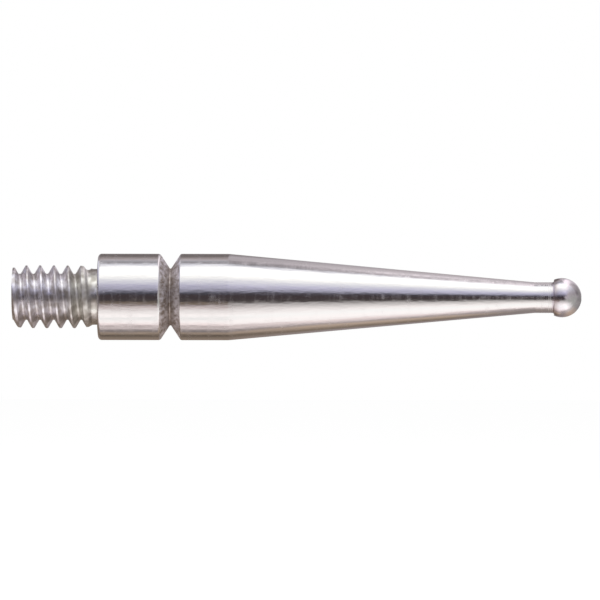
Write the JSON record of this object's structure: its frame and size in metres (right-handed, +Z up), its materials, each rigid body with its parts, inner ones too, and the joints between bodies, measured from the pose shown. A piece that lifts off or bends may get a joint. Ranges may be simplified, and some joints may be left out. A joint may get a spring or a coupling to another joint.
{
  "type": "dial test indicator stylus",
  "caption": "Slim steel stylus with a threaded end, grooved grip, long cone and carbide ball tip, for a lever-type dial test indicator.",
  "frame": {"origin": "centre of the shoulder that seats against the indicator's lever", "axes": "+X along the axis towards the ball, +Z up; the form is round about X"},
  "size_m": [0.0145, 0.0022, 0.0022],
  "materials": {
    "steel": "satin",
    "carbide": "satin"
  },
  "bodies": {
    "root": {"stylus_body": "steel", "contact_ball": "carbide"}
  },
  "joints": []
}
